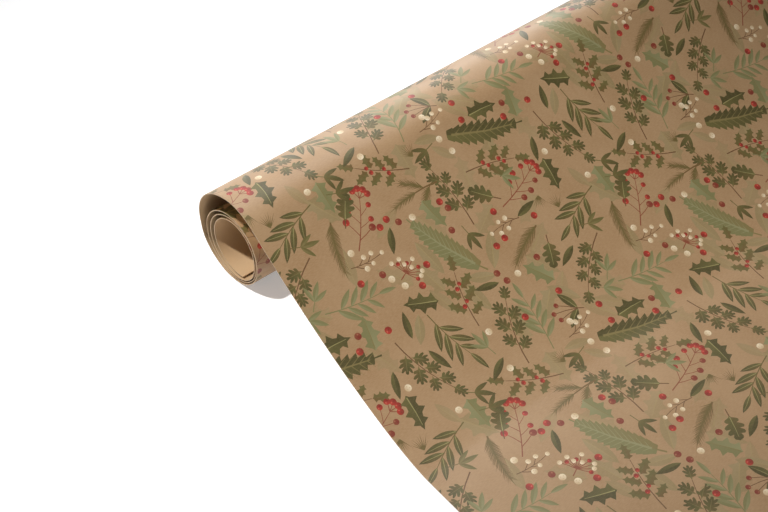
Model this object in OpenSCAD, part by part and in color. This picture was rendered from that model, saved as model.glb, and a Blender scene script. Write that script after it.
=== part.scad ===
// Roll of wrapping paper, partly unrolled: a coreless coil lies at one end of the sheet,
// the sheet leaves the top of the coil, runs down to the table and lies flat on it.
//
// The roll's axis runs along Y, the sheet runs out towards +X, and the table is z = 0.
// Sizes along X are measured from the roll, and the whole model is then moved so that its
// origin lies on the table under the middle of its box.
// The printed side is the outside of the coil and the top of the sheet. Every turn is
// given by its outside, and the paper's thickness goes inwards from there.

/* [Paper] */
// Width of the paper, which is the length of the roll
paper_w = 500; // [300:50:700]
// Thickness of the modelled paper
paper_t = 0.4; // [0.3:0.05:0.45]

/* [Unrolled sheet] */
// How far the free edge reaches in front of the roll
sheet_reach = 330; // [300:10:450]
// Where the slope ends and the sheet lies flat
foot_x = 134; // [120:1:160]
// Slope at which the sheet leaves the roll, in degrees
leave_angle = 31.7; // [25:0.1:36]
// Angle in plan by which the sheet was drawn off askew
sheet_skew = 3.6; // [0:0.1:5]
// Where the lying sheet ends and its bending flaps begin
flap_start = 190; // [170:5:220]

/* [Coil] */
// Height of the loose outer turn above the table
roll_h = 52.4; // [50:0.2:60]
// Radius of the loose outer turn over the top
top_r = 28.8; // [27:0.1:30]
// How far the loose outer turn reaches behind the roll's axis
back_reach = 26.8; // [25:0.1:28]
// How far the wound turns reach in front of the roll's axis
front_reach = 11.3; // [9:0.1:12]
// Space from one turn to the next at the back
step_back = 2.4; // [1.6:0.1:3]
// Space from one turn to the next at the front, where they press together
step_front = 0.8; // [0.8:0.1:1.2]
// How much further in the wound turns end than the sheet does at the roll's top
coil_recess = 4.2; // [0:0.1:6]
// Part of a full circle that the innermost turn goes round, in degrees
core_arc = 290; // [275:1:292]
// Room for the wound turns to turn in the loose one, in degrees
turn_room = 11; // [6:1:14]

/* [Hidden] */

kraft = "#b08c66";
kraft_inside = "#c8a57c";
seam_gap = 0.3;      // clearance between pieces that bend or slide against each other
seam_rise = 0.6;     // how much higher the upper halves of the wound turns are centred
turn_fn = 180;       // sides of a full turn
slope_steps = 40;    // facets of the slope
core_no = 3;         // number of the innermost wound turn

// The wound turns are half turns, joined at the back and parted at the front.
// Half turn "under" n comes from the back of the turn before, half turn "over" n follows.
// Turn 0 is the loose one, and its lower half touches the table.
function turn_back(n) = n * step_back - back_reach;
function turn_front(n) = front_reach - (n - 1) * step_front;
function under_r(n) = (turn_front(n) - turn_back(n - 1)) / 2;
function under_x(n) = (turn_front(n) + turn_back(n - 1)) / 2;
function over_r(n) = (turn_front(n) - turn_back(n)) / 2;
function over_x(n) = (turn_front(n) + turn_back(n)) / 2;
coil_z = under_r(1);
over_z = coil_z + seam_rise;

// Centre of the loose turn's top
top_x = top_r - back_reach;
top_z = roll_h - top_r;

// The slope is one Bezier curve, from the shoulder of the coil to the foot of the slope.
shoulder_pull = 77;  // length of the curve's handle at the shoulder
foot_pull = 9;       // length of the curve's handle at the foot
shoulder = [top_x + top_r * sin(leave_angle), top_z + top_r * cos(leave_angle)];
foot = [foot_x, paper_t];
slope_curve = [shoulder,
               shoulder + shoulder_pull * [cos(leave_angle), -sin(leave_angle)],
               foot - [foot_pull, 0],
               foot];
function bezier(p, s) = pow(1 - s, 3) * p[0] + 3 * s * pow(1 - s, 2) * p[1]
                        + 3 * s * s * (1 - s) * p[2] + pow(s, 3) * p[3];
function bezier_heading(p, s) = pow(1 - s, 2) * (p[1] - p[0]) + 2 * s * (1 - s) * (p[2] - p[1])
                                + s * s * (p[3] - p[2]);
function to_inside(heading) = [heading[1], -heading[0]] / norm(heading);

// Middle of the whole model's box
middle_x = (sheet_reach - seam_gap / 2 - back_reach) / 2;
middle_y = (coil_recess + paper_w + (top_x - sheet_reach + seam_gap / 2) * tan(sheet_skew)) / 2;

flap_count = 4;
flap_len = (sheet_reach - flap_start) / flap_count;
function flap_x(flap) = flap_start + (flap - 1) * flap_len;

// An outline in the XZ plane, pushed along Y
module along_roll(y0, y1) {
    translate([0, y1, 0]) rotate([90, 0, 0]) linear_extrude(y1 - y0) children();
}

// An arc of a turn. Angles are measured from the top, over the back and down under,
// so 90 is the back, 180 the bottom and 270 the front, towards the sheet.
module turn_arc(x, z, r, from_angle, to_angle, y0 = coil_recess, y1 = coil_recess + paper_w) {
    translate([x, y1, z]) rotate([90, 0, 0])
        rotate([0, 0, 90 + from_angle])
            rotate_extrude(angle = to_angle - from_angle, $fn = turn_fn)
                translate([r - paper_t, 0]) square([paper_t, y1 - y0]);
}

// The upright stretch at the back of a turn, between its lower and its upper arc
module flat_back(x, z0, z1, y0, y1) {
    along_roll(y0, y1) translate([x, z0]) square([paper_t, z1 - z0]);
}

// A prism with the sheet's skewed side edges, between two distances from the roll's axis
module skewed_plan(x0, x1, height) {
    y0 = (top_x - x0) * tan(sheet_skew);
    y1 = (top_x - x1) * tan(sheet_skew);
    linear_extrude(height)
        polygon([[x0, y0], [x1, y1], [x1, y1 + paper_w], [x0, y0 + paper_w]]);
}

// A prism along X whose ends lean, so that the loose turn's edge winds in towards the coil
module leaning_ends() {
    margin = 10;
    lean = coil_recess / roll_h;
    low_y = coil_recess + lean * margin;
    high_y = -lean * margin;
    rotate([90, 0, 90]) translate([0, 0, -roll_h]) linear_extrude(2 * roll_h)
        polygon([[low_y, -margin], [high_y, roll_h + margin],
                 [high_y + paper_w, roll_h + margin], [low_y + paper_w, -margin]]);
}

// From the top of the coil over its shoulder and down the slope to the table
module lead_off() {
    steps = [for (i = [0 : slope_steps]) i / slope_steps];
    outside = [for (s = steps) bezier(slope_curve, s)];
    inside = [for (i = [slope_steps : -1 : 0])
              outside[i] + paper_t * to_inside(bezier_heading(slope_curve, steps[i]))];
    color(kraft) intersection() {
        union() {
            turn_arc(top_x, top_z, top_r, -leave_angle, 0, -roll_h, paper_w + roll_h);
            along_roll(-roll_h, paper_w + roll_h) polygon(concat(outside, inside));
        }
        skewed_plan(top_x, foot_x - seam_gap / 2, roll_h);
    }
}

// The loose outer turn: from the top down the back, under, and up inside to the front
module loose_turn() {
    color(kraft) intersection() {
        union() {
            turn_arc(top_x, top_z, top_r, 0, 90, -roll_h, paper_w + roll_h);
            flat_back(-back_reach, coil_z, top_z, -roll_h, paper_w + roll_h);
            turn_arc(under_x(1), coil_z, under_r(1), 90, 270 - turn_room / 2,
                     -roll_h, paper_w + roll_h);
        }
        leaning_ends();
    }
}

// A wound turn: up from the front, over the top, down the back, under and up to the front
module wound_turn(n) {
    turn_arc(over_x(n), over_z, over_r(n), 270, 450);
    flat_back(turn_back(n), coil_z, over_z, coil_recess, coil_recess + paper_w);
    turn_arc(under_x(n + 1), coil_z, under_r(n + 1), 90, 270);
}

// The first wound turn. It starts a little above the seam at the front, which leaves it
// room to turn inside the loose turn.
module second_turn() {
    room_h = over_r(1) * sin(turn_room / 2);
    color(kraft) difference() {
        wound_turn(1);
        translate([over_x(1), 0, over_z - seam_rise / 2])
            cube([roll_h, 2 * paper_w, room_h + seam_rise / 2]);
    }
}

// The next wound turn, one step smaller, free to slide out of the coil
module third_turn() {
    color(kraft) wound_turn(2);
}

// The innermost turn, one true arc round the hollow middle, ending in the paper's inner edge
module core_turn() {
    color(kraft_inside)
        turn_arc(over_x(core_no), over_z, over_r(core_no), 270, 270 + core_arc);
}

// A flat stretch of the sheet, held back from its neighbours by the seam gap
module flat_stretch(x0, x1) {
    color(kraft) skewed_plan(x0 + seam_gap / 2, x1 - seam_gap / 2, paper_t);
}

// The stretch that stays flat beyond the foot of the slope
module laid_sheet() {
    flat_stretch(foot_x, flap_start);
}

// One bending stretch of the free end
module sheet_flap(flap) {
    flat_stretch(flap_x(flap), flap_x(flap + 1));
}

translate([-middle_x, -middle_y, 0]) {
    lead_off();
    loose_turn();
    second_turn();
    third_turn();
    core_turn();
    laid_sheet();
    sheet_flap(1);  // sheet_flap_1
    sheet_flap(2);  // sheet_flap_2
    sheet_flap(3);  // sheet_flap_3
    sheet_flap(4);  // free_edge_flap
}
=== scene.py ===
"""A roll of printed kraft wrapping paper, partly pulled out flat over a table.

The paper is one web. Its path is known all the way from the free end inside the
coil to the cut end on the table, so each piece here is a stretch of that path,
made as a closed strip of paper with the print set into its outer face.
Lengths are in millimetres until a mesh is made, in the part's own frame: X is
the way the paper is pulled, Y runs along the roll and Z is up.
"""
import math
import random

import bpy
import numpy as np
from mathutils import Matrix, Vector
from mathutils.geometry import delaunay_2d_cdt


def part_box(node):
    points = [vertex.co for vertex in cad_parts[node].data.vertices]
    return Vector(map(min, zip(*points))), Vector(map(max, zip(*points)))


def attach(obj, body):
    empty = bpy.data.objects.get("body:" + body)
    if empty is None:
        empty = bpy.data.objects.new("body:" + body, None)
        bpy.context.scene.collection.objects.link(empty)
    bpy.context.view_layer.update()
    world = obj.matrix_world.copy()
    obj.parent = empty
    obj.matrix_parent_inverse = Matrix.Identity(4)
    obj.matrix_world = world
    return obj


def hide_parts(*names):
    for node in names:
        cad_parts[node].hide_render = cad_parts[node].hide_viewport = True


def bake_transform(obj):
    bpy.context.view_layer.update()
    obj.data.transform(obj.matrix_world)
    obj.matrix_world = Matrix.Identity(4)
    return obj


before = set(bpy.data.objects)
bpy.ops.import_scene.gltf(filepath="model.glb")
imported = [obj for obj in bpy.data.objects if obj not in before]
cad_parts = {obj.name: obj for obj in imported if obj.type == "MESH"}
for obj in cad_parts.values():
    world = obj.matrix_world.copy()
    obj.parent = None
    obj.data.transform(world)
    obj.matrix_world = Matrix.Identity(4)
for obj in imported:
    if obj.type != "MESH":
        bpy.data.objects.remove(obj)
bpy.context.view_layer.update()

# ---- The web's sizes, the same as the CAD parts have ----
WIDTH = 500.0  # across the web
THICK = 0.4
ROLL_HEIGHT = 52.4
TOP_RADIUS = 28.8
LEAVE_ANGLE = 31.7  # how steeply the paper leaves the loose turn
BACK_REACH = 26.8  # from the roll's axis line to the back of the loose turn
FRONT_REACH = 11.3  # and to the front of the wound coil
STEP_BACK = 2.4  # between the backs of two turns
STEP_FRONT = 0.8  # between their fronts
SEAM_RISE = 0.6  # how far a turn's upper half sits above its lower half
SHOULDER_PULL = 77.0
FOOT_PULL = 9.0
FOOT_X = 134.0  # where the sheet comes down on the table
SHEET_REACH = 330.0  # where the sheet is cut off
SHEET_SKEW = 3.6  # degrees by which the sheet runs off towards the near side
COIL_RECESS = 4.2  # how far the wound turns sit inside the near end
CURL_LINES = (190.0, 225.0, 260.0, 295.0)  # the X of each line the end curls about
TURN_COUNT = 3
CORE_ARC = 290.0  # how many degrees the innermost turn goes round
TOP_X = TOP_RADIUS - BACK_REACH
TOP_Z = ROLL_HEIGHT - TOP_RADIUS
# The sizes above are measured from the roll's axis and near end. The frame's origin is
# the middle of the part's underside, and this is where the axis and near end lie in it.
CORE_LOW = np.array(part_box("core_turn")[0]) * 1000
AXIS_X = CORE_LOW[0] - (TURN_COUNT * STEP_BACK - BACK_REACH)
NEAR_Y = CORE_LOW[1] - COIL_RECESS

# ---- The camera, which looks down along the roll from its near end ----
VIEW_TARGET = (25.6, 64.0, 0.0)
VIEW_ELEVATION = 42.86
VIEW_AZIMUTH = 48.76
VIEW_DISTANCE = 704.9
VIEW_LENS = 73.3


# ---------------------------------------------------------------- the path
# Places on a turn are angles in degrees. They run from the top over the back and under,
# so the web, followed from its inner end, goes down through them.
BACK = 90.0
BOTTOM = 180.0
FRONT = 270.0
FULL_TURN = 360.0
ARC_STEP = 0.5  # degrees between two points of a turn
SLOPE_POINTS = 400
NO_STEP = 1e-6  # points closer than this are one point


def turn_back(turn):
    """The X of a turn's back. The loose turn is turn 0."""
    return turn * STEP_BACK - BACK_REACH


def turn_front(turn):
    """The X of a turn's front."""
    return FRONT_REACH - (turn - 1) * STEP_FRONT


COIL_Z = (turn_front(1) - turn_back(0)) / 2
OVER_Z = COIL_Z + SEAM_RISE


def arc_points(x, z, radius, start, end):
    """Points of a turn, from one angle down to another."""
    angle = np.radians(np.linspace(start, end, int((start - end) / ARC_STEP) + 1))
    return np.column_stack((x - radius * np.sin(angle), z + radius * np.cos(angle)))


def slope_points():
    """The paper's way from the loose turn down to the table, as one smooth sag."""
    lean = math.radians(LEAVE_ANGLE)
    toward = np.array((math.cos(lean), -math.sin(lean)))
    shoulder = np.array((TOP_X + TOP_RADIUS * math.sin(lean), TOP_Z + TOP_RADIUS * math.cos(lean)))
    foot = np.array((FOOT_X, THICK))
    a, b, c, d = shoulder, shoulder + SHOULDER_PULL * toward, foot - (FOOT_PULL, 0), foot
    t = np.linspace(0, 1, SLOPE_POINTS)[:, None]
    return (1 - t) ** 3 * a + 3 * (1 - t) ** 2 * t * b + 3 * (1 - t) * t**2 * c + t**3 * d


def lay_path():
    """The printed face's line from the web's inner end, and where its stretches start.

    Each turn is an "over" half above the coil's middle and an "under" half that follows.
    """
    runs = []
    for turn in range(TURN_COUNT, 0, -1):
        front, back = turn_front(turn), turn_back(turn)
        first = FRONT + CORE_ARC if turn == TURN_COUNT else BACK + FULL_TURN
        runs.append((f"over{turn}", (front + back) / 2, OVER_Z, (front - back) / 2, first, FRONT))
        back = turn_back(turn - 1)
        runs.append((f"under{turn}", (front + back) / 2, COIL_Z, (front - back) / 2, FRONT, BACK))
    runs.append(("top", TOP_X, TOP_Z, TOP_RADIUS, BACK, -LEAVE_ANGLE))
    points, counts = [], []
    for run in runs:
        counts.append(sum(len(p) for p in points))
        points.append(arc_points(*run[1:]))
    counts.append(sum(len(p) for p in points))
    points.append(slope_points())
    flat_x = np.arange(FOOT_X + 1, SHEET_REACH + 0.5)
    points.append(np.column_stack((flat_x, np.full(len(flat_x), THICK))))
    line = np.concatenate(points)
    steps = np.linalg.norm(np.diff(line, axis=0), axis=1)
    length = np.concatenate(((0,), np.cumsum(steps)))
    starts = {run[0]: (length[i], run[4], run[3]) for run, i in zip(runs, counts)}
    keep = np.concatenate(((True,), steps > NO_STEP))
    return line[keep], length[keep], starts, length[counts[-1]]


PATH, LENGTH, TURN_STARTS, SLOPE_START = lay_path()
WEB_END = LENGTH[-1]


def at_angle(turn, angle):
    """The length along the web at an angle of a turn."""
    start, first, radius = TURN_STARTS[turn]
    return start + math.radians(first - angle) * radius


def at_x(x):
    """The length along the web at a place on the slope or the flat."""
    past = LENGTH >= SLOPE_START
    return float(np.interp(x, PATH[past, 0], LENGTH[past]))


# The wound turns don't end quite flush. Each wave in their edge has a height, a length
# (over two pi) and a phase, and the waves fade out towards the loose turn.
EDGE_WAVES = ((0.3, 21, 0), (0.15, 8.3, 1))
EDGE_FADE = 40.0  # the length of web over which they fade
EDGE_FADE_END = 230.0  # the angle under the loose turn where they are gone


def lay_edge():
    """Where the web's near edge lies along Y, for each point of the path."""
    loose = LENGTH > at_angle("under1", BOTTOM)
    edge = np.where(loose, COIL_RECESS * (1 - PATH[:, 1] / ROLL_HEIGHT), COIL_RECESS)
    sheet = LENGTH > at_angle("top", 0)
    drift = (TOP_X - PATH[:, 0]) * math.tan(math.radians(SHEET_SKEW))
    edge = np.where(sheet, drift, edge)
    wound = np.clip((at_angle("under1", EDGE_FADE_END) - LENGTH) / EDGE_FADE, 0, 1)
    waves = sum(height * np.sin(LENGTH / long + phase) for height, long, phase in EDGE_WAVES)
    return edge + wound * waves


EDGE = lay_edge()

# How high the paper ripples at places along the web: not in the coil, and most on the slope.
RIPPLE_AT = (
    at_angle("under1", 100), at_angle("top", BACK), at_angle("top", 0), at_x(70), at_x(FOOT_X), WEB_END,
)
RIPPLE_HEIGHT = (0, 0.04, 0.1, 0.45, 0.25, 0.35)
# Each wave's share, its lengths across and along the web (over two pi), and its phase.
RIPPLE_WAVES = ((1.0, 41, 90, 0), (0.6, 23, -60, 2), (0.5, 140, 31, 1))


def ripple(along, across):
    """How far the paper stands out from its path, in slow shallow waves."""
    wave = sum(
        share * np.sin(across / wide + along / long + phase)
        for share, wide, long, phase in RIPPLE_WAVES
    )
    peak = sum(share for share, _, _, _ in RIPPLE_WAVES)
    return np.interp(along, RIPPLE_AT, RIPPLE_HEIGHT) * (0.5 + wave / (2 * peak))


def path_normal(along):
    """The X and Z of the path's normal, on the printed side."""
    step = 0.2
    ahead, behind = np.clip(along + step, 0, WEB_END), np.clip(along - step, 0, WEB_END)
    dx = np.interp(ahead, LENGTH, PATH[:, 0]) - np.interp(behind, LENGTH, PATH[:, 0])
    dz = np.interp(ahead, LENGTH, PATH[:, 1]) - np.interp(behind, LENGTH, PATH[:, 1])
    size = np.hypot(dx, dz)
    return -dz / size, dx / size


def web_points(along, across, depth=0.0):
    """Places in metres for points of the web, depth under its printed face."""
    normal_x, normal_z = path_normal(along)
    out = ripple(along, across) - depth
    x = np.interp(along, LENGTH, PATH[:, 0]) + normal_x * out + AXIS_X
    y = np.interp(along, LENGTH, EDGE) + across + NEAR_Y
    z = np.interp(along, LENGTH, PATH[:, 1]) + normal_z * out
    return np.column_stack((x, y, z)) / 1000


def web_normals(along, across):
    """The printed face's normals, from the surface itself and not the mesh."""
    step = 0.4
    ahead, behind = np.clip(along + step, 0, WEB_END), np.clip(along - step, 0, WEB_END)
    run = web_points(ahead, across) - web_points(behind, across)
    side = web_points(along, across + step) - web_points(along, across - step)
    normal = np.cross(run, side)
    return normal / np.linalg.norm(normal, axis=1)[:, None]


# ---------------------------------------------------------------- the print
# A shape of the print is (outline, gradient start, gradient end, first ink, last ink).
# Outlines are drawn along X from a base at the origin, and then moved into place.
dice = random.Random(24)


def ink(red, green, blue, cover=1.0):
    """A printing ink from its screen colour, and how much of the kraft it covers."""
    return tuple((value / 255) ** 2.2 for value in (red, green, blue)) + (cover,)


DARK = ink(72, 68, 32)
DARK_LIGHT = ink(98, 94, 50)
OLIVE = ink(102, 90, 48)
OLIVE_LIGHT = ink(124, 112, 68)
BROWN = ink(106, 82, 44)
SAGE = ink(120, 118, 76)
SAGE_LIGHT = ink(138, 136, 96)
VEIN = ink(148, 140, 90)
STEM = ink(100, 70, 42)
RED = ink(176, 44, 36)
RED_DARK = ink(122, 36, 28)
RED_LIGHT = ink(196, 84, 68)
BRICK = ink(130, 66, 44)
CREAM = ink(236, 220, 188)
CREAM_DARK = ink(194, 166, 126)


def faded(colour, cover):
    """The same ink, printed thinner."""
    return colour[:3] + (cover,)


def shape(outline, first, last=None):
    """A shape whose ink runs from its base to its tip, with its outline anticlockwise."""
    outline = np.array(outline, float)
    x, y = outline.T
    if (x * np.roll(y, -1) - y * np.roll(x, -1)).sum() < 0:
        outline = outline[::-1]
    return outline, np.zeros(2), np.array((x.max(), 0.0)), first, last or first


def moved(shapes, x=0.0, y=0.0, turn=0.0, size=1.0):
    """Shapes turned and scaled about the origin, and then shifted."""
    cosine, sine = math.cos(turn) * size, math.sin(turn) * size
    spin = np.array(((cosine, sine), (-sine, cosine)))
    shift = np.array((x, y))
    return [
        (outline @ spin + shift, start @ spin + shift, end @ spin + shift, first, last)
        for outline, start, end, first, last in shapes
    ]


# Half of a leaf's edge: how far along it, and how far out, as shares of its length.
HOLLY_SIDE = (
    (0, 0), (0.07, 0.07), (0.15, 0.26), (0.25, 0.15), (0.38, 0.16), (0.47, 0.31),
    (0.57, 0.16), (0.68, 0.13), (0.77, 0.23), (0.85, 0.07), (1, 0),
)
OAK_SIDE = (
    (0, 0), (0.08, 0.06), (0.14, 0.2), (0.2, 0.25), (0.27, 0.22), (0.3, 0.13), (0.38, 0.28),
    (0.45, 0.35), (0.53, 0.31), (0.53, 0.15), (0.61, 0.27), (0.69, 0.31), (0.76, 0.26),
    (0.74, 0.12), (0.85, 0.17), (0.93, 0.14), (0.97, 0.05), (1, 0),
)
LOBED_SIDE = (
    (0, 0), (0.2, 0.06), (0.24, 0.26), (0.34, 0.33), (0.42, 0.28), (0.38, 0.12), (0.5, 0.3),
    (0.64, 0.4), (0.7, 0.33), (0.6, 0.13), (0.74, 0.24), (0.9, 0.29), (0.93, 0.22), (0.8, 0.09),
    (0.97, 0.07), (1, 0),
)


def smooth_side(width, fullest=1.0):
    """An edge without teeth, widest at its middle, or nearer its base if fullest is below 1."""
    steps = np.linspace(0, 1, 8)
    return np.column_stack((steps, width / 2 * np.sin(math.pi * steps**fullest) ** 0.85))


def toothed_side(width, teeth, cut, fullest=0.85):
    """An edge of small teeth that point along the leaf."""
    side = [(0.0, 0.0)]
    for i in range(teeth):
        tip = (i + 0.95) / teeth
        reach = width / 2 * math.sin(math.pi * tip**fullest) ** 0.6
        side += [((i + 0.05) / teeth, reach * cut), (tip, reach)]
    return np.array(side + [(1.0, 0.0)])


def leaf(length, side, inks, bend=0.0, vein=None):
    """A leaf of two tones, one each side of its midrib."""
    steps, widths = np.array(side, float).T * length
    spine = np.column_stack((steps, bend * steps**2 / length))
    middle = np.linspace(length, 0, 5)[:-1]
    back = np.column_stack((middle, bend * middle**2 / length))
    shapes = []
    for way, colour in ((1, inks[0]), (-1, inks[1])):
        edge = spine + np.column_stack((np.zeros(len(widths)), way * widths))
        shapes.append(shape(np.concatenate((edge[:-1], back)), colour, inks[-1]))
    if vein:
        shapes += stem((0.06, 0.5, 0.86), length, bend, 0.03 * length, 0.012 * length, vein)
    return shapes


def stem(steps, length, bend, first, last, colour):
    """A thin line that tapers, along a curve that bends away from X."""
    steps = np.array(steps)
    spine = np.column_stack((steps * length, bend * length * steps**2))
    half = np.interp(steps, (steps[0], steps[-1]), (first, last)) / 2
    away = np.column_stack((np.zeros(len(steps)), half))
    return [shape(np.concatenate((spine + away, (spine - away)[::-1])), colour)]


def disc(radius, count, colour, last=None, x=0.0, y=0.0, squash=1.0):
    """A round spot, or an oval one, with a number of corners."""
    angles = np.arange(count) * 2 * math.pi / count + 0.3
    ring = np.column_stack((x + radius * np.cos(angles), y + radius * squash * np.sin(angles)))
    return [(ring, np.array((x - radius, y)), np.array((x + radius, y)), colour, last or colour)]


def berry(radius, colour, shade, shine):
    """A berry with a shine on one side and a dark eye."""
    shapes = disc(radius, 11, colour, shade)
    shapes += disc(radius * 0.3, 6, shine, None, -radius * 0.42, radius * 0.3, 0.7)
    shapes += disc(radius * 0.24, 4, shade, None, radius * 0.2, -radius * 0.1)
    return shapes


def red_berry(radius=1.7):
    return berry(radius, RED, RED_DARK, RED_LIGHT)


def brick_berry(radius=1.65):
    return berry(radius, BRICK, RED_DARK, ink(158, 98, 72))


def pearl(radius=1.65):
    """A cream berry with three faint marks."""
    shapes = disc(radius, 10, CREAM, CREAM_DARK)
    for angle in (0.4, 2.4, 4.6):
        x, y = radius * 0.45 * math.cos(angle), radius * 0.45 * math.sin(angle)
        shapes += disc(radius * 0.17, 4, CREAM_DARK, None, x, y)
    return shapes


def sprig(
    length, pairs, part,
    spread=0.8, shrink=0.4, bend=0.12, start=0.25, thick=0.55, colour=STEM, tip=True,
):
    """A stem with parts in pairs along it, and one at its tip."""
    shapes = stem(np.linspace(0, 1, 6), length, bend, thick, thick * 0.5, colour)
    for i in range(pairs):
        for way in (1, -1):
            step = start + (0.95 - start) * (i + 0.18 * way) / pairs
            turn = math.atan(2 * bend * step) + way * spread * dice.uniform(0.85, 1.15)
            size = (1 - shrink * step) * dice.uniform(0.88, 1.1)
            shapes += moved(part(), step * length, bend * length * step**2, turn, size)
    if tip:
        shapes += moved(part(), length * 0.97, bend * length * 0.95, math.atan(2 * bend), 1 - shrink)
    return shapes


def bending():
    """A leaf's slight bend to one side."""
    return dice.uniform(-0.12, 0.12)


def dark_holly():
    return leaf(16.5, HOLLY_SIDE, (DARK, DARK_LIGHT, DARK), bending(), VEIN)


def sage_holly():
    return leaf(16.0, HOLLY_SIDE, (SAGE, SAGE_LIGHT, SAGE), bending(), OLIVE_LIGHT)


def small_holly():
    return moved(leaf(9.0, HOLLY_SIDE, (OLIVE, BROWN, DARK_LIGHT)), 1.2)


def oak_leaf():
    blade = leaf(13.0, OAK_SIDE, (OLIVE, DARK_LIGHT, DARK), -0.06, VEIN)
    return stem((0, 1), 4, 0, 0.5, 0.5, STEM) + moved(blade, 3.5)


def small_oak():
    return moved(leaf(8.6, LOBED_SIDE, (DARK_LIGHT, OLIVE, DARK), 0, OLIVE_LIGHT), 0.6)


def willow(length=12.5, width=0.28, inks=(DARK, DARK_LIGHT, DARK), vein=None):
    return leaf(length, smooth_side(width, 0.9), inks, bending(), vein)


def dark_sprig():
    """A sprig of long dark leaves."""
    inks = (OLIVE, DARK_LIGHT, DARK)
    return sprig(25, 3, lambda: willow(13.0, 0.26, inks, VEIN), spread=0.66, shrink=0.2, colour=OLIVE)


def sage_sprig():
    """A sprig of long pale leaves."""
    inks = (SAGE, SAGE_LIGHT, SAGE)
    return sprig(27, 4, lambda: willow(12.5, 0.25, inks), spread=0.72, shrink=0.3, colour=SAGE)


def on_stalk(part, reach, colour=STEM):
    """A part at the end of a short stalk."""
    return stem((0, 0.5, 1), reach, 0.1, 0.4, 0.3, colour) + moved(part, reach, reach * 0.1)


def red_branch():
    """A branch of berries on stalks, with four red ones round its tip."""
    shapes = sprig(
        24, 3, lambda: on_stalk(dice.choice((red_berry, brick_berry))(1.7), 8.5, BRICK),
        spread=0.75, shrink=0.3, colour=BRICK, tip=False,
    )
    for turn in (-0.9, -0.3, 0.3, 0.9):
        shapes += moved(on_stalk(red_berry(1.6), 4.5, BRICK), 24, 3, turn)
    return shapes


def oak_twig():
    """A twig of small lobed leaves."""
    return sprig(30, 3, small_oak, spread=0.7, shrink=0.15, bend=dice.choice((-0.2, 0.2)), thick=0.6)


def holly_twig():
    """A twig of small holly leaves, with berries where they grow."""
    length, bend = 26, -0.15
    shapes = sprig(length, 3, small_holly, spread=0.95, shrink=0.1, bend=bend)
    for step in (0.4, 0.72):
        x, y = length * step, length * bend * step**2
        shapes += moved(red_berry(1.1), x, 1.2 + y)
        shapes += moved(red_berry(1.0), x + 1.8, -1.0 + y)
    return shapes


def pearl_sprig():
    """A short sprig of cream berries."""
    return sprig(13, 2, lambda: on_stalk(pearl(1.3), 5.0), spread=0.55, shrink=0.2, bend=0.15, thick=0.4)


def pearl_cluster():
    """Cream and red berries that fan out from one stem."""
    shapes = []
    for i in range(11):
        part = pearl(1.1) if i % 3 else red_berry(1.0)
        shapes += moved(on_stalk(part, dice.uniform(4.0, 8.5), BRICK), 4, 0, -1.5 + i * 0.3)
    return stem((0, 1), 5, 0, 0.5, 0.4, BRICK) + shapes


def berry_twig():
    """Three berries between two leaves."""
    shapes = stem((0, 1), 4, 0, 0.5, 0.4, STEM)
    for turn in (1.0, -0.8):
        shapes += moved(willow(11, 0.36, vein=VEIN), 3, 0, turn)
    for turn, reach in ((-0.25, 10), (0.12, 12), (0.45, 10.5)):
        shapes += moved(on_stalk(brick_berry(1.2), reach), 3, 0, turn)
    return shapes


def needle(length=6.2):
    return [shape(((0, 0.24), (length, 0), (0, -0.24)), OLIVE, BROWN)]


def fir():
    """A needled tip, whose needles show one by one over a thin tint of body."""
    inks = (faded(BROWN, 0.5), faded(OLIVE, 0.4), faded(BROWN, 0.3))
    body = leaf(24, smooth_side(0.24, 0.8), inks, 0.16)
    return body + sprig(
        24, 30, needle,
        spread=0.62, shrink=0.35, bend=0.16, start=0.06, thick=0.8, colour=BROWN,
    )


def fir_branch():
    """Three needled shoots from one stem."""
    shapes = stem((0, 0.5, 1), 12, 0.1, 0.9, 0.6, BROWN)
    for x, turn, length in ((4, 0.75, 11), (7, -0.6, 12), (11, 0.15, 15)):
        shoot = sprig(
            length, 17, lambda: needle(5.0),
            spread=0.6, shrink=0.3, bend=0.1, start=0.1, colour=BROWN,
        )
        shapes += moved(shoot, x, 0.1 * x, turn)
    return shapes


def veined(length, width, inks, veins, cut, colour, bend):
    """A long cut-edged leaf with side veins."""
    slant = 0.75  # the angle from the midrib to a side vein
    shapes = leaf(length, toothed_side(width, veins, cut), inks, bend, colour)
    for i in range(1, veins - 1):
        step = (i + 0.1) / veins
        reach = length * width * 0.4 * math.sin(math.pi * step**0.85) ** 0.6
        for way in (1, -1):
            line = stem((0, 1), reach / math.sin(slant), 0, 0.4, 0.12, colour)
            shapes += moved(line, step * length, bend * length * step**2, way * slant)
    return shapes


def fern():
    """A long dark leaf with teeth."""
    return veined(40, 0.31, (DARK, DARK_LIGHT, DARK), 11, 0.62, OLIVE_LIGHT, 0.14)


def plume():
    """A long pale leaf with finer teeth, on a stem."""
    inks = (SAGE, OLIVE_LIGHT, SAGE)
    blade = veined(38, 0.32, inks, 14, 0.78, SAGE_LIGHT, -0.14)
    return stem((0, 1), 6, 0, 0.9, 0.7, OLIVE_LIGHT) + moved(blade, 4)


def sprout():
    """Three small leaves on a stem."""
    inks = dice.choice((
        (SAGE, SAGE_LIGHT, SAGE),
        (OLIVE, OLIVE_LIGHT, DARK_LIGHT),
        (DARK_LIGHT, OLIVE, DARK),
    ))
    shapes = stem((0, 1), 6, 0, 0.45, 0.35, inks[0])
    for turn, size in ((0.05, 9.5), (0.75, 8.0), (-0.7, 8.0)):
        shapes += moved(willow(size, 0.26, inks), 4.5, 0, turn)
    return shapes


def fan():
    """A few bare needles that spread from one point."""
    shapes = []
    for i in range(9):
        shapes += moved(needle(), 0, 0, -0.8 + i * 0.2, dice.uniform(0.8, 1.25))
    return shapes


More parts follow.
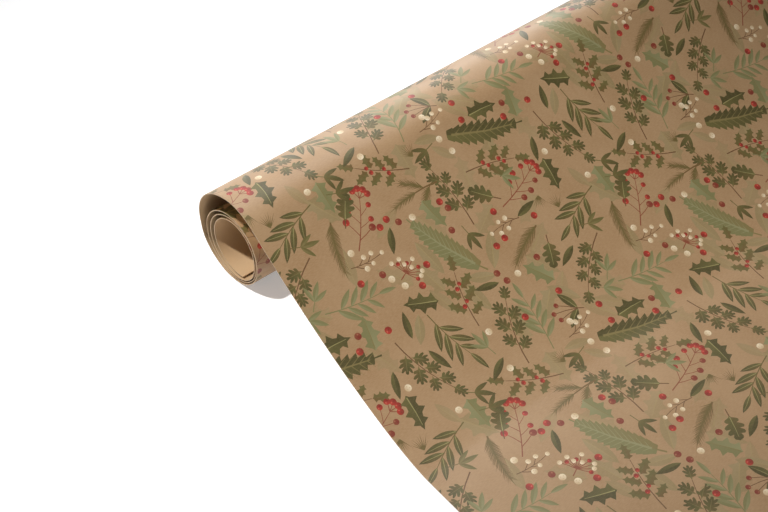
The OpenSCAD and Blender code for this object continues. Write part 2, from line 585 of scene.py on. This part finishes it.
def ghost():
    """A pale leaf, printed thin, that shows as little more than a tint."""
    cover = dice.uniform(0.25, 0.5)
    inks = (faded(SAGE, cover), faded(SAGE_LIGHT, cover), faded(SAGE, cover))
    vein = faded(VEIN, 0.5)
    if dice.random() < 0.4:
        return leaf(18, HOLLY_SIDE, inks, bending(), vein)
    return leaf(dice.uniform(13, 20), smooth_side(0.34), inks, bending(), vein)


# What one repeat of the print holds: how many of each motif, and its length and width.
# The large ones come first, while there is room for them, and the ghosts come last.
CONTENTS = (
    (fern, 1, 40, 11),
    (plume, 1, 42, 11),
    (dark_sprig, 2, 36, 17),
    (sage_sprig, 2, 36, 16),
    (red_branch, 2, 29, 14),
    (oak_twig, 4, 35, 13),
    (holly_twig, 3, 31, 12),
    (pearl_cluster, 1, 13, 11),
    (fir, 2, 29, 8),
    (fir_branch, 1, 27, 13),
    (berry_twig, 1, 16, 10),
    (pearl_sprig, 3, 18, 7),
    (dark_holly, 3, 17, 9),
    (sage_holly, 4, 16, 8),
    (oak_leaf, 3, 16, 8),
    (sprout, 9, 14, 7),
    (fan, 3, 8, 6),
    (willow, 8, 12, 3.6),
    (red_berry, 16, 0, 4),
    (brick_berry, 8, 0, 4),
    (pearl, 12, 0, 4),
    (ghost, 30, 16, 6),
)
REPEAT_ALONG = 113.0
REPEAT_ACROSS = 126.0  # each column of repeats sits half a repeat further along than the last
TRIES = 70  # places tried for each motif, and twice as many for a berry


def repeat_shift(column, row):
    """How far a repeat lies from the first one, along the web and across it."""
    return np.array((row * REPEAT_ALONG + column * REPEAT_ALONG / 2, column * REPEAT_ACROSS))


# The nearest repeats on all sides of one, which its motifs mustn't run into.
REPEAT_SHIFTS = np.array([repeat_shift(c, r) for c in (-1, 0, 1) for r in (-2, -1, 0, 1, 2)])


def footprint(length, width):
    """Circles along X that stand for a motif while it is placed."""
    count = max(1, round(length / width))
    return np.array([((i + 0.5) * length / count, 0.0, width / 2) for i in range(count)])


def room_left(circles, taken):
    """The smallest gap between a motif's circles and those already placed."""
    if not len(taken):
        return 0.0
    gap = circles[:, None, :2] - taken[None, :, :2]
    gap = gap + REPEAT_SHIFTS[:, None, None, :]
    room = np.hypot(gap[..., 0], gap[..., 1]) - circles[:, None, 2] - taken[None, :, 2]
    return room.min()


def roomiest_place(length, width, taken):
    """The best of some random places for a motif: where, how turned, and its circles there."""
    most_room, best = -math.inf, None
    for _ in range(TRIES if length else TRIES * 2):
        place = np.array((dice.uniform(0, REPEAT_ALONG), dice.uniform(0, REPEAT_ACROSS)))
        turn = dice.uniform(0, 2 * math.pi)
        circles = footprint(length, width)
        spin = np.array(((math.cos(turn), math.sin(turn)), (-math.sin(turn), math.cos(turn))))
        circles[:, :2] = circles[:, :2] @ spin + place
        room = room_left(circles, taken)
        if room > most_room:
            most_room, best = room, (place, turn, circles)
    return best


def compose_repeat():
    """Every shape of one repeat, in the order they are printed, the ghosts under the rest."""
    taken, layers = np.zeros((0, 3)), []
    for motif, count, length, width in CONTENTS:
        for _ in range(count):
            place, turn, circles = roomiest_place(length, width, taken)
            taken = np.concatenate((taken, circles))
            layers.append(moved(motif(), place[0], place[1], turn))
    ghosts = CONTENTS[-1][1]
    ordered = layers[-ghosts:] + layers[:-ghosts]
    return [one for layer in ordered for one in layer]


PRINT = compose_repeat()
PRINT_LOW = np.array([one[0].min(axis=0) for one in PRINT])
PRINT_HIGH = np.array([one[0].max(axis=0) for one in PRINT])
TOUCHING = 0.01  # a shape that reaches into a strip by less than this is left out


def clipped(outline, low, high):
    """The part of an outline inside a box, or None."""
    points = [tuple(p) for p in outline]
    for axis, limit, side in ((0, low[0], 1), (0, high[0], -1), (1, low[1], 1), (1, high[1], -1)):
        kept = []
        for here, there in zip(points, points[1:] + points[:1]):
            a, b = (here[axis] - limit) * side, (there[axis] - limit) * side
            if a >= 0:
                kept.append(here)
            if a * b < 0:
                share = a / (a - b)
                cut = [here[k] + (there[k] - here[k]) * share for k in (0, 1)]
                cut[axis] = limit
                kept.append(tuple(cut))
        points = kept
        if len(points) < 3:
            return None
    return points


def print_on(start, end):
    """The print's shapes between two lengths of the web, in printing order."""
    low, high = np.array((start, 0.0)), np.array((end, WIDTH))
    found = []
    for column in range(-1, int(WIDTH / REPEAT_ACROSS) + 2):
        first_row = int((start - column * REPEAT_ALONG / 2) // REPEAT_ALONG) - 2
        last_row = int((end - column * REPEAT_ALONG / 2) // REPEAT_ALONG) + 2
        for row in range(first_row, last_row):
            shift = repeat_shift(column, row)
            begins = PRINT_HIGH + shift > low + TOUCHING
            ends = PRINT_LOW + shift < high - TOUCHING
            hits = (begins & ends).all(axis=1)
            found += [(int(i), column, row) for i in np.flatnonzero(hits)]
    shapes = []
    for index, column, row in sorted(found):
        shift = repeat_shift(column, row)
        outline, ink_start, ink_end, first, last = PRINT[index]
        outline = outline + shift
        if (outline < low).any() or (outline > high).any():
            outline = clipped(outline, low, high)
        if outline is not None:
            shapes.append((outline, ink_start + shift, ink_end + shift, first, last))
    return shapes


# ---------------------------------------------------------------- the paper
ACROSS_PITCH = 20.0
SAME_PLACE = 1e-5  # how close two points of a cut may be before they become one
ON_EDGE = 1e-3  # how close to a patch's edge a point counts as on it
UNDER_TEXTURE = 9.0  # the plain face reads its texture this much higher, so it has its own
PLAIN_FACE = ink(200, 169, 131, 0.85)  # the paper's bare side, paler than the printed one


def cut_up(outline, shapes, along, across):
    """A flat patch cut into triangles, with its shapes and grid lines as edges.

    Gives the points, the triangles, the number of the topmost shape on each triangle
    (0 where there is none), and for each point the given points that it stands for.
    """
    points = [Vector(p) for p in outline]
    faces = [list(range(len(points)))]
    edges = []
    for one in shapes:
        first = len(points)
        points += [Vector(p) for p in one[0]]
        faces.append(list(range(first, len(points))))
    low, high = np.min(outline, axis=0), np.max(outline, axis=0)
    for value in along:
        edges.append((len(points), len(points) + 1))
        points += [Vector((value, low[1])), Vector((value, high[1]))]
    for value in across:
        edges.append((len(points), len(points) + 1))
        points += [Vector((low[0], value)), Vector((high[0], value))]
    made, _, cut_faces, point_origins, _, face_origins = delaunay_2d_cdt(
        points, edges, faces, 1, SAME_PLACE, True,
    )
    places = np.array([tuple(p) for p in made])
    triangles = np.array([tuple(f) for f in cut_faces])
    top_shape = np.array([max(origins) if origins else 0 for origins in face_origins])
    return places, triangles, top_shape, point_origins


def around(places, low, high):
    """The points on the edge of a patch, in order round it."""
    along, across = places.T
    sides = (
        (np.abs(across - low[1]) < ON_EDGE, along),
        (np.abs(along - high[0]) < ON_EDGE, across),
        (np.abs(across - high[1]) < ON_EDGE, -along),
        (np.abs(along - low[0]) < ON_EDGE, -across),
    )
    loop = []
    for on_side, key in sides:
        found = np.flatnonzero(on_side)
        found = found[np.argsort(key[found])]
        loop += [int(i) for i in found[:-1]]
    return loop


def corner_inks(places, triangles, top_shape, shapes):
    """Each triangle corner's ink, which runs along its shape's gradient."""
    blank = (np.zeros(2), np.ones(2), (0, 0, 0, 0), (0, 0, 0, 0))
    rows = [blank] + [one[1:] for one in shapes]
    start, end, first, last = (
        np.array([row[column] for row in rows])[top_shape][:, None, :] for column in range(4)
    )
    run = end - start
    share = ((places[triangles] - start) * run).sum(axis=2) / (run**2).sum(axis=2)
    share = np.clip(share, 0, 1)[:, :, None]
    return first * (1 - share) + last * share


def rim_quads(loop, origins, count):
    """The cut edges' faces, between a loop of the top's points and their twins underneath."""
    twin = {source: count + here for here, sources in enumerate(origins) for source in sources}
    ahead = np.roll(np.arange(len(loop)), -1)
    return np.array([(loop[i], twin[i], twin[j], loop[j]) for i, j in enumerate(ahead)])


def strip_mesh(name, vertices, triangles, quads):
    """A mesh of triangles and then quads, with smooth faces."""
    mesh = bpy.data.meshes.new(name)
    mesh.vertices.add(len(vertices))
    mesh.vertices.foreach_set("co", vertices.ravel())
    loops = np.concatenate((triangles.ravel(), quads.ravel()))
    mesh.loops.add(len(loops))
    mesh.loops.foreach_set("vertex_index", loops.astype(np.int32))
    sizes = np.repeat((3, 4), (len(triangles), len(quads)))
    starts = np.cumsum(sizes) - sizes
    mesh.polygons.add(len(sizes))
    mesh.polygons.foreach_set("loop_start", starts.astype(np.int32))
    mesh.polygons.foreach_set("use_smooth", np.ones(len(sizes), bool))
    mesh.update(calc_edges=True)
    return mesh


def add_layer(mesh, name, kind, domain, field, values):
    """Numbers for a material to read, on a mesh's points, faces or corners."""
    layer = mesh.attributes.new(name, kind, domain)
    layer.data.foreach_set(field, values.ravel())


def quad_normals(corners):
    """The normal of each of some quads, once for each of its corners."""
    facing = np.cross(corners[:, 1] - corners[:, 0], corners[:, 2] - corners[:, 1])
    facing /= np.linalg.norm(facing, axis=1)[:, None]
    return np.repeat(facing, 4, axis=0)


def paper_strip(name, start, end, pitch, material):
    """A stretch of the web as a closed mesh: printed face, plain face and cut edges."""
    along = np.linspace(start, end, max(2, math.ceil((end - start) / pitch) + 1))
    across = np.arange(ACROSS_PITCH, WIDTH, ACROSS_PITCH)
    low, high = (start, 0.0), (end, WIDTH)
    shapes = print_on(start, end)
    outline = [low, (end, 0.0), high, (start, WIDTH)]
    top, top_faces, top_shape, _ = cut_up(outline, shapes, along[1:-1], across)
    loop = around(top, low, high)
    under, under_faces, _, origins = cut_up(top[loop], [], along[1:-1], across)
    rim = rim_quads(loop, origins, len(top))
    triangles = np.concatenate((top_faces, under_faces[:, ::-1] + len(top)))
    vertices = np.concatenate((web_points(*top.T), web_points(*under.T, THICK)))
    mesh = strip_mesh(name, vertices, triangles, rim)

    inks = np.zeros((triangles.size + rim.size, 4))
    inks[: top_faces.size] = corner_inks(top, top_faces, top_shape, shapes).reshape(-1, 4)
    inks[top_faces.size : triangles.size] = PLAIN_FACE
    add_layer(mesh, "ink", "FLOAT_COLOR", "CORNER", "color", inks)
    # Where each point lies on the flat web, in metres, for the paper's own texture.
    flat = np.zeros((len(vertices), 3))
    flat[:, :2] = np.concatenate((top, under))
    flat[len(top) :, 2] = UNDER_TEXTURE
    add_layer(mesh, "web", "FLOAT_VECTOR", "POINT", "vector", flat / 1000)
    is_rim = np.repeat((0.0, 1.0), (len(triangles), len(rim)))
    add_layer(mesh, "cut_edge", "FLOAT", "FACE", "value", is_rim)

    face_normals = np.concatenate((web_normals(*top.T), -web_normals(*under.T)))
    normals = np.concatenate((face_normals[triangles.ravel()], quad_normals(vertices[rim])))
    mesh.normals_split_custom_set(normals)
    mesh.materials.append(material)
    piece = bpy.data.objects.new(name, mesh)
    bpy.context.scene.collection.objects.link(piece)
    return piece


# ---------------------------------------------------------------- materials
def node(tree, kind, **values):
    """A shader node. Names with a capital are its inputs, and the others its settings."""
    made = tree.nodes.new(kind)
    for name, value in values.items():
        if name[0].isupper():
            made.inputs[name.replace("_", " ")].default_value = value
        else:
            setattr(made, name, value)
    return made


def noise(tree, place, stretch, scale, detail):
    """Noise over the flat web, stretched along or across it."""
    sized = node(tree, "ShaderNodeVectorMath", operation="MULTIPLY")
    sized.inputs[1].default_value = stretch
    tree.links.new(place, sized.inputs[0])
    made = node(tree, "ShaderNodeTexNoise", Scale=scale, Detail=detail)
    tree.links.new(sized.outputs[0], made.inputs["Vector"])
    return made.outputs["Fac"]


def ramp(tree, value, low, high, first, last):
    """A value spread from low..high to first..last."""
    made = node(tree, "ShaderNodeMapRange", From_Min=low, From_Max=high, To_Min=first, To_Max=last)
    tree.links.new(value, made.inputs["Value"])
    return made.outputs["Result"]


# The numbers that a colour Mix node's sockets have.
MIX_SHARE, MIX_FIRST, MIX_LAST, MIX_RESULT = 0, 6, 7, 2


def blend_colours(tree, share, first, last):
    """From one colour to another by a share, each of them a value or a socket."""
    made = node(tree, "ShaderNodeMix", data_type="RGBA")
    for value, socket in ((share, MIX_SHARE), (first, MIX_FIRST), (last, MIX_LAST)):
        if isinstance(value, (float, tuple)):
            made.inputs[socket].default_value = value
        else:
            tree.links.new(value, made.inputs[socket])
    return made.outputs[MIX_RESULT]


KRAFT = ink(168, 136, 100)
KRAFT_DARK = ink(156, 123, 86)
KRAFT_LIGHT = ink(184, 153, 117)
CUT_EDGE = ink(168, 138, 102)


def kraft_material():
    """Brown kraft paper, smooth enough to shine a little, with the print in it."""
    material = bpy.data.materials.new("printed_kraft_paper")
    material.use_nodes = True
    tree = material.node_tree
    surface = tree.nodes["Principled BSDF"]
    web = node(tree, "ShaderNodeAttribute", attribute_name="web").outputs["Vector"]
    mottle = noise(tree, web, (1, 1, 1), 45, 4)
    fibre = noise(tree, web, (1, 0.22, 1), 2600, 4)
    fleck = noise(tree, web, (0.35, 1, 1), 1300, 2)
    colour = blend_colours(tree, ramp(tree, mottle, 0.3, 0.7, 0.0, 1.0), KRAFT_DARK, KRAFT)
    colour = blend_colours(tree, ramp(tree, fibre, 0.35, 0.75, 0.0, 0.5), colour, KRAFT_LIGHT)
    colour = blend_colours(tree, ramp(tree, fleck, 0.62, 0.8, 0.0, 0.35), colour, KRAFT_DARK)
    printed = node(tree, "ShaderNodeAttribute", attribute_name="ink")
    worn = ramp(tree, fibre, 0.3, 0.8, 1.0, 0.82)
    cover = node(tree, "ShaderNodeMath", operation="MULTIPLY")
    tree.links.new(printed.outputs["Alpha"], cover.inputs[0])
    tree.links.new(worn, cover.inputs[1])
    colour = blend_colours(tree, cover.outputs[0], colour, printed.outputs["Color"])
    edge = node(tree, "ShaderNodeAttribute", attribute_name="cut_edge").outputs["Fac"]
    colour = blend_colours(tree, edge, colour, CUT_EDGE)
    tree.links.new(colour, surface.inputs["Base Color"])
    tree.links.new(ramp(tree, fibre, 0.3, 0.7, 0.4, 0.5), surface.inputs["Roughness"])
    surface.inputs["IOR"].default_value = 1.58
    bump = node(tree, "ShaderNodeBump", Strength=0.22, Distance=0.00003)
    tree.links.new(fibre, bump.inputs["Height"])
    tree.links.new(bump.outputs["Normal"], surface.inputs["Normal"])
    return material


# ---------------------------------------------------------------- the pieces
PAPER = kraft_material()
COIL_PITCH = 1.3
SLOPE_PITCH = 2.5
HINGE_PITCH = 2.0
# A wound turn's own strip starts just before the turn's bottom, runs up its back and ends
# just past its top. The strip between two turns lies over the front.
STRIP_START = 200.0
STRIP_END = 340.0
SLOPE_END = 112.0  # the X where the slope's strip ends and the one over its foot begins
FOOT_END = 173.0  # the X where the strip over the foot ends
FOOT_BEND = (122.0, 146.0)  # the X between which the foot bends
CURL_REACH = 16.0  # how far the bend reaches to each side of a line that the end curls about


def place(x, z):
    """A point in the part's frame, from the sizes above."""
    return ((x + AXIS_X) / 1000, 0.0, z / 1000)


CORE_CUT = at_angle("over3", STRIP_END)
THIRD_START, THIRD_CUT = at_angle("under3", STRIP_START), at_angle("over2", STRIP_END)
SECOND_START, SECOND_CUT = at_angle("under2", STRIP_START), at_angle("over1", STRIP_END)
LOOSE_START = at_angle("under1", STRIP_START)
# Name, start, end, pitch, body, CAD nodes replaced: stretches that one body carries.
CARRIED = (
    ("core_paper", 0.0, CORE_CUT, COIL_PITCH, "inner_turn", ["core_turn"]),
    ("third_paper", THIRD_START, THIRD_CUT, COIL_PITCH, "middle_turn", ["third_turn"]),
    ("second_paper", SECOND_START, SECOND_CUT, COIL_PITCH, "wound_coil", ["second_turn"]),
    ("loose_paper", LOOSE_START, SLOPE_START, COIL_PITCH, "roll", ["loose_turn"]),
    ("slope_paper", SLOPE_START, at_x(SLOPE_END), SLOPE_PITCH, "roll", ["lead_off"]),
)
# Name, start, end, pitch, the two bodies, and the points it bends between.
BENDING = [
    ("core_bend", CORE_CUT, THIRD_START, COIL_PITCH,
     "inner_turn", "middle_turn", place(0, 32), place(0, 5)),
    ("third_bend", THIRD_CUT, SECOND_START, COIL_PITCH,
     "middle_turn", "wound_coil", place(0, 33), place(0, 4)),
    ("second_bend", SECOND_CUT, LOOSE_START, COIL_PITCH,
     "wound_coil", "roll", place(0, 35), place(0, 3)),
    ("foot_paper", at_x(SLOPE_END), at_x(FOOT_END), HINGE_PITCH,
     "roll", "sheet", place(FOOT_BEND[0], 0), place(FOOT_BEND[1], 0)),
]
SHEET_BODIES = ("sheet", "flap_1", "flap_2", "flap_3", "free_edge")
SHEET_NODES = ("laid_sheet", "sheet_flap_1", "sheet_flap_2", "sheet_flap_3", "free_edge_flap")
# Each strip of the end lies over one curl line, and they meet halfway between two lines.
for number, line in enumerate(CURL_LINES):
    last = number == len(CURL_LINES) - 1
    begin = FOOT_END if number == 0 else (CURL_LINES[number - 1] + line) / 2
    finish = SHEET_REACH if last else (line + CURL_LINES[number + 1]) / 2
    BENDING.append((
        f"sheet_paper_{number + 1}", at_x(begin), at_x(finish), HINGE_PITCH, SHEET_BODIES[number],
        SHEET_BODIES[number + 1], place(line - CURL_REACH, 0), place(line + CURL_REACH, 0),
    ))

for name, start, end, pitch, body, nodes in CARRIED:
    piece = paper_strip(name, start, end, pitch, PAPER)
    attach(piece, body)
    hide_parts(*nodes)
for name, start, end, pitch, first, second, bend_start, bend_end in BENDING:
    piece = paper_strip(name, start, end, pitch, PAPER)
    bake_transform(piece)
    if second in SHEET_BODIES:
        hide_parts(SHEET_NODES[SHEET_BODIES.index(second)])


# ---------------------------------------------------------------- the setting
def aim(thing, position, target):
    """Puts a camera or light at a position, looking at a target, both in metres."""
    thing.location = position
    thing.rotation_euler = (Vector(target) - Vector(position)).to_track_quat("-Z", "Y").to_euler()


def soft_light(name, position, target, size, power):
    """A soft box of some width and height, aimed at a target."""
    data = bpy.data.lights.new(name, "AREA")
    data.shape = "RECTANGLE"
    data.size, data.size_y = size
    data.energy = power
    light = bpy.data.objects.new(name, data)
    bpy.context.scene.collection.objects.link(light)
    aim(light, position, target)


def view_camera():
    """The photograph's camera."""
    elevation, azimuth = math.radians(VIEW_ELEVATION), math.radians(VIEW_AZIMUTH)
    back = Vector((
        math.sin(azimuth) * math.cos(elevation),
        -math.cos(azimuth) * math.cos(elevation),
        math.sin(elevation),
    ))
    target = Vector((VIEW_TARGET[0] + AXIS_X, VIEW_TARGET[1] + NEAR_Y, VIEW_TARGET[2])) / 1000
    data = bpy.data.cameras.new("view")
    data.lens = VIEW_LENS
    camera = bpy.data.objects.new("view", data)
    bpy.context.scene.collection.objects.link(camera)
    aim(camera, target + back * VIEW_DISTANCE / 1000, target)
    bpy.context.scene.camera = camera


def table():
    """A wide white table top, a little below the paper so that the two don't coincide."""
    data = bpy.data.meshes.new("table_top")
    reach = 4.0
    corners = [(-reach, -reach, 0), (reach, -reach, 0), (reach, reach, 0), (-reach, reach, 0)]
    data.from_pydata(corners, [], [(0, 1, 2, 3)])
    top = bpy.data.objects.new("table_top", data)
    bpy.context.scene.collection.objects.link(top)
    top.location.z = -0.0002
    material = bpy.data.materials.new("white_table")
    material.use_nodes = True
    surface = material.node_tree.nodes["Principled BSDF"]
    surface.inputs["Base Color"].default_value = (0.88, 0.88, 0.88, 1)
    surface.inputs["Emission Color"].default_value = (0.95, 0.98, 1.03, 1)
    surface.inputs["Emission Strength"].default_value = 0.28
    surface.inputs["Roughness"].default_value = 0.7
    surface.inputs["Specular IOR Level"].default_value = 0.2
    data.materials.append(material)


def light_room():
    """Faint warm light from all round, and a pale wall where the camera sees past the table."""
    world = bpy.data.worlds.new("room")
    world.use_nodes = True
    tree = world.node_tree
    room = tree.nodes["Background"]
    room.inputs["Color"].default_value = (1, 0.97, 0.94, 1)
    room.inputs["Strength"].default_value = 0.12
    wall = tree.nodes.new("ShaderNodeBackground")
    wall.inputs["Color"].default_value = (0.62, 0.62, 0.62, 1)
    seen = tree.nodes.new("ShaderNodeLightPath").outputs["Is Camera Ray"]
    choice = tree.nodes.new("ShaderNodeMixShader")
    for value, socket in ((seen, 0), (room.outputs[0], 1), (wall.outputs[0], 2)):
        tree.links.new(value, choice.inputs[socket])
    tree.links.new(choice.outputs[0], tree.nodes["World Output"].inputs["Surface"])
    bpy.context.scene.world = world


def studio_lights():
    """A key from the left over the roll's near end, and wide soft lights behind the roll."""
    near_end = Vector(((AXIS_X + 20) / 1000, (NEAR_Y + 60) / 1000, 0.02))
    key_place = near_end + Vector((-0.24, -0.38, 0.89)).normalized() * 1.2
    sun = bpy.data.lights.new("key", "SUN")
    sun.energy = 0.85
    sun.angle = math.radians(1.6)
    sun.color = (1, 0.95, 0.9)
    spot = bpy.data.lights.new("key_spot", "SPOT")
    spot.energy = 43
    spot.shadow_soft_size = 0.018
    spot.spot_size = math.radians(28)
    spot.spot_blend = 1.0
    for data, target in ((sun, near_end), (spot, near_end - Vector((0.03, 0.03, 0)))):
        light = bpy.data.objects.new(data.name, data)
        bpy.context.scene.collection.objects.link(light)
        aim(light, key_place, target)
    soft_light("sheen_near", near_end + Vector((-0.32, 0.24, 0.5)), near_end, (0.36, 0.2), 1.15)
    soft_light("sheen", near_end + Vector((-0.95, 0.55, 0.24)), near_end, (0.9, 0.36), 1.9)
    roll_middle = Vector((AXIS_X / 1000, 0, 0.04))
    soft_light("sheen_far", roll_middle + Vector((-0.9, 0.8, 0.24)), roll_middle, (1.0, 0.36), 3.2)
    light_room()
    bpy.context.scene.view_settings.view_transform = "Standard"


view_camera()
table()
studio_lights()
